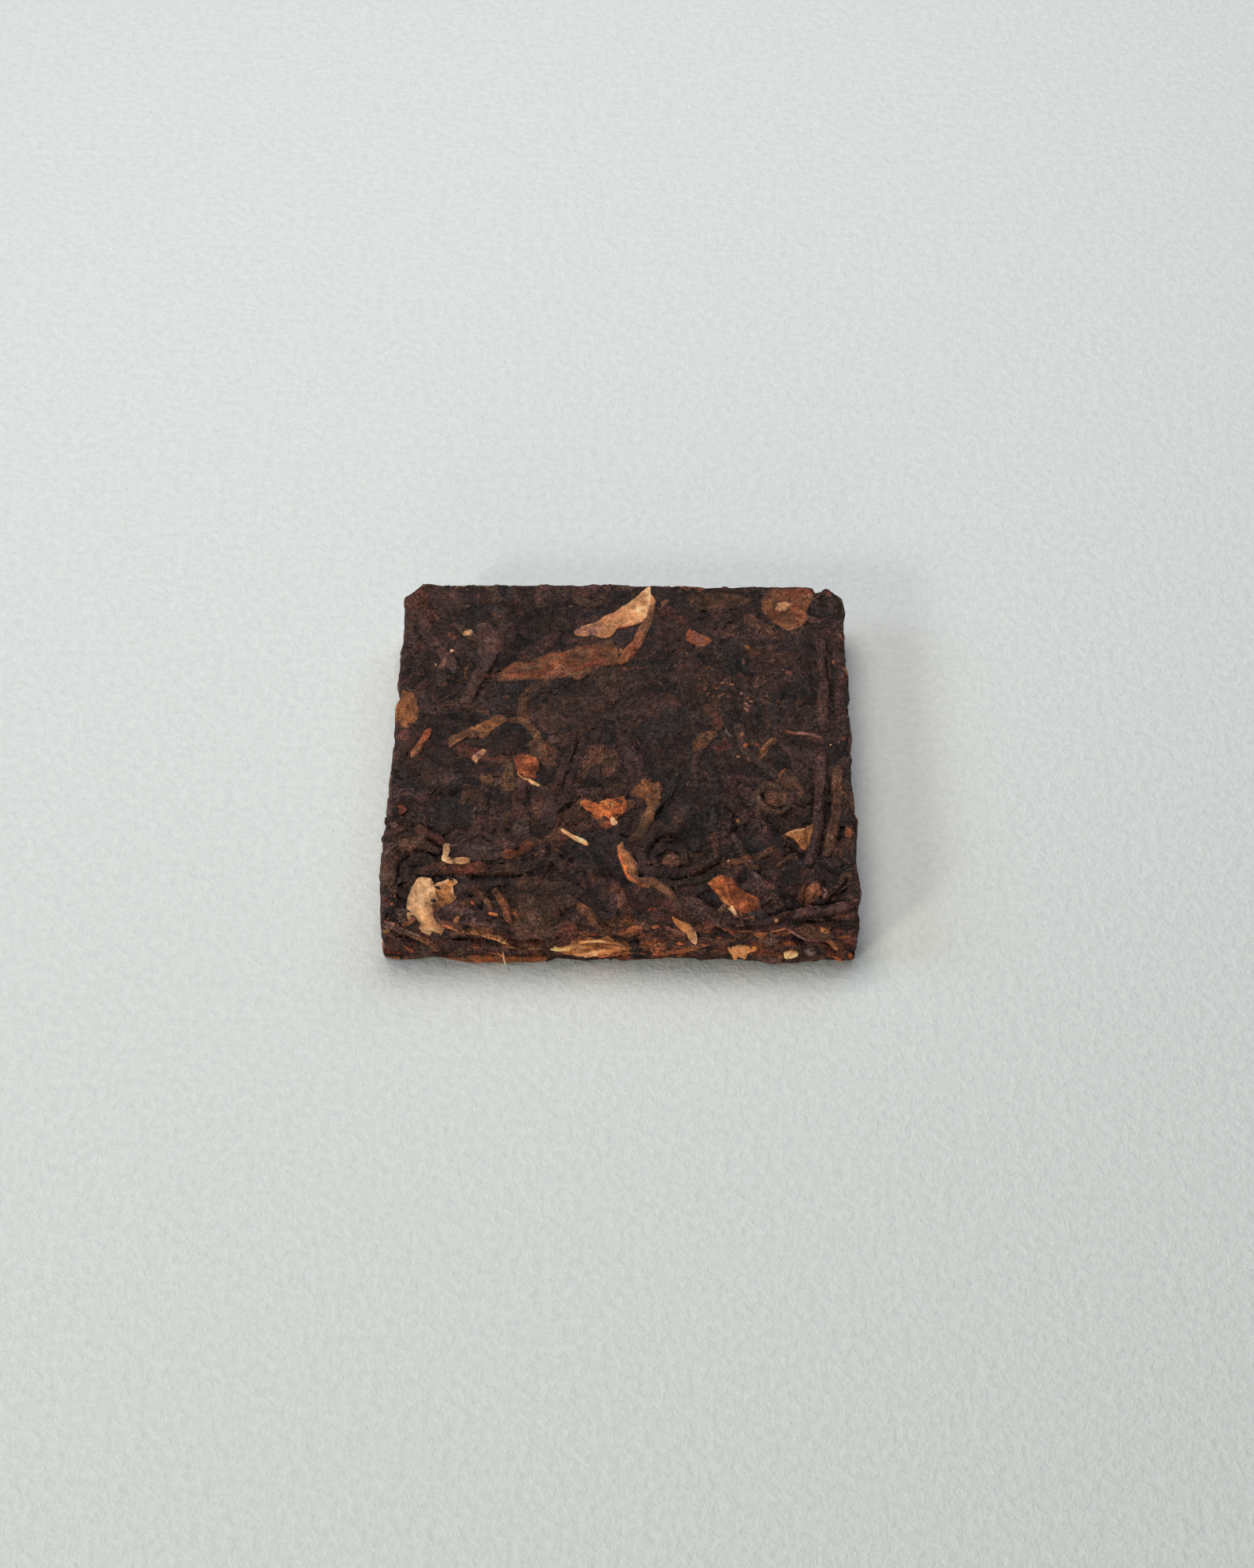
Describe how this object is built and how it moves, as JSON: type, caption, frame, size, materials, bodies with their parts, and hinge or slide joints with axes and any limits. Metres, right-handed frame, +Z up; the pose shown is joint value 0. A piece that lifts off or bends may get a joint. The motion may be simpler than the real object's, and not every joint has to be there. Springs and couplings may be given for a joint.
{
  "type": "pressed tea tablet with tangerine peel",
  "caption": "Small square tablet of dark pressed ripe tea leaves with torn pieces of dried tangerine peel set into its face and front edge, for brewing",
  "frame": {"origin": "middle of the face that the tablet rests on, at the centre of its outline seen from above", "axes": "+Z up out of the upper face, -Y towards the front edge nearest the viewer, +X to the right"},
  "size_m": [0.0353, 0.0352, 0.0053],
  "materials": {
    "tea": "matte, pressed dry leaves",
    "cream_peel": "matte, dry pith side",
    "tan_peel": "matte, dry pith side",
    "orange_peel": "satin, dry pitted rind",
    "russet_peel": "satin, dry pitted rind",
    "ochre_peel": "matte, dry rind"
  },
  "bodies": {
    "root": {"tea_brick": "tea", "peel_cream_large": "cream_peel", "peel_needle": "cream_peel", "peel_orange_left": "orange_peel", "peel_orange_middle": "orange_peel", "peel_orange_right": "orange_peel", "peel_tan_triangle": "tan_peel", "peel_gold_front": "tan_peel", "peel_edge_front": "tan_peel", "peel_chip_front": "tan_peel", "peel_folded_strip": "russet_peel", "peel_ring": "russet_peel", "peel_chip_back": "russet_peel", "peel_low_front": "russet_peel", "peel_left_edge": "ochre_peel", "peel_curled_strip": "ochre_peel", "peel_short_strip": "ochre_peel"}
  },
  "joints": []
}
